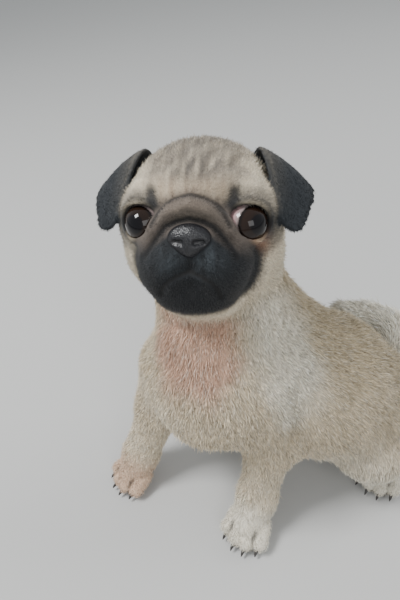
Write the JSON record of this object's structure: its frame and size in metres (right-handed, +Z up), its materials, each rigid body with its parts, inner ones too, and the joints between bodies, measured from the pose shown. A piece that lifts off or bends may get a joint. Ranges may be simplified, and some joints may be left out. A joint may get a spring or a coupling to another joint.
{
  "type": "pug puppy, still life-size model",
  "caption": "Still life-size model of a sitting pug puppy, fawn with a black mask, head turned and lifted, folded ears, curled tail.",
  "frame": {"origin": "centre of the footprint of the whole puppy, on the floor", "axes": "+Z up; the puppy's front half looks along -Y; +X is the puppy's left"},
  "size_m": [0.1544, 0.2018, 0.2191],
  "materials": {
    "coat": "short soft fawn fur, whiter on the paws, shoulder and tail",
    "mask": "short velvety black fur with fine folds",
    "ear": "black velvet fur with a cool sheen",
    "eye": "wet glossy dark brown eye",
    "nose_leather": "pebbled black nose leather, slightly moist"
  },
  "bodies": {
    "root": {"head": "mask", "neck": "coat", "chest": "coat", "hindquarters": "coat", "tail": "coat", "foreleg_left": "coat", "foreleg_right": "coat", "forepaw_left": "coat", "forepaw_right": "coat", "ear_left": "ear", "ear_right": "ear", "eye_left": "eye", "eye_right": "eye", "nose": "nose_leather", "thigh_left": "coat", "thigh_right": "coat", "hindpaw_left": "coat", "hindpaw_right": "coat"}
  },
  "joints": []
}
